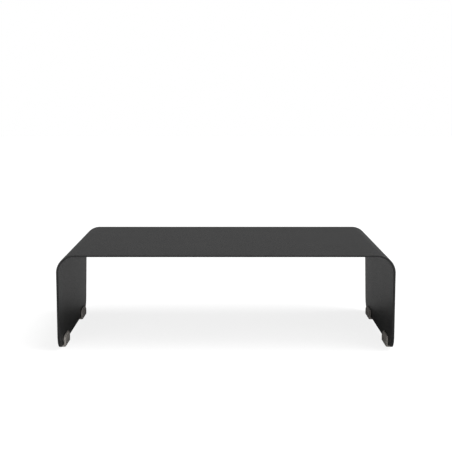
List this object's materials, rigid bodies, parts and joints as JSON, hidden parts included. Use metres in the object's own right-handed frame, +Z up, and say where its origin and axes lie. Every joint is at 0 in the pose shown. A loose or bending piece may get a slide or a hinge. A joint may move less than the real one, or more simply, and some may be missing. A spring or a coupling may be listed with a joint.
{
  "type": "monitor riser",
  "caption": "Low monitor riser bent from a strip of powder-coated sheet steel, on stick-on rubber feet, open from front to rear so that a keyboard slides under it.",
  "frame": {"origin": "on the surface that the riser stands on, under the middle of the riser", "axes": "+X across the riser's width, to its right seen from the front; +Y from its front edge to its rear edge; +Z up"},
  "size_m": [0.45, 0.28, 0.132],
  "materials": {
    "powder_coated_steel": "satin black powder coat with a fine grain",
    "foot_rubber": "matt warm-grey moulded rubber",
    "mounting_tape": "black double-sided foam tape"
  },
  "bodies": {
    "root": {"riser_sheet": "powder_coated_steel", "foot_front_left": "foot_rubber", "foot_front_right": "foot_rubber", "foot_rear_left": "foot_rubber", "foot_rear_right": "foot_rubber", "tape_front_left": "mounting_tape", "tape_front_right": "mounting_tape", "tape_rear_left": "mounting_tape", "tape_rear_right": "mounting_tape"}
  },
  "joints": []
}
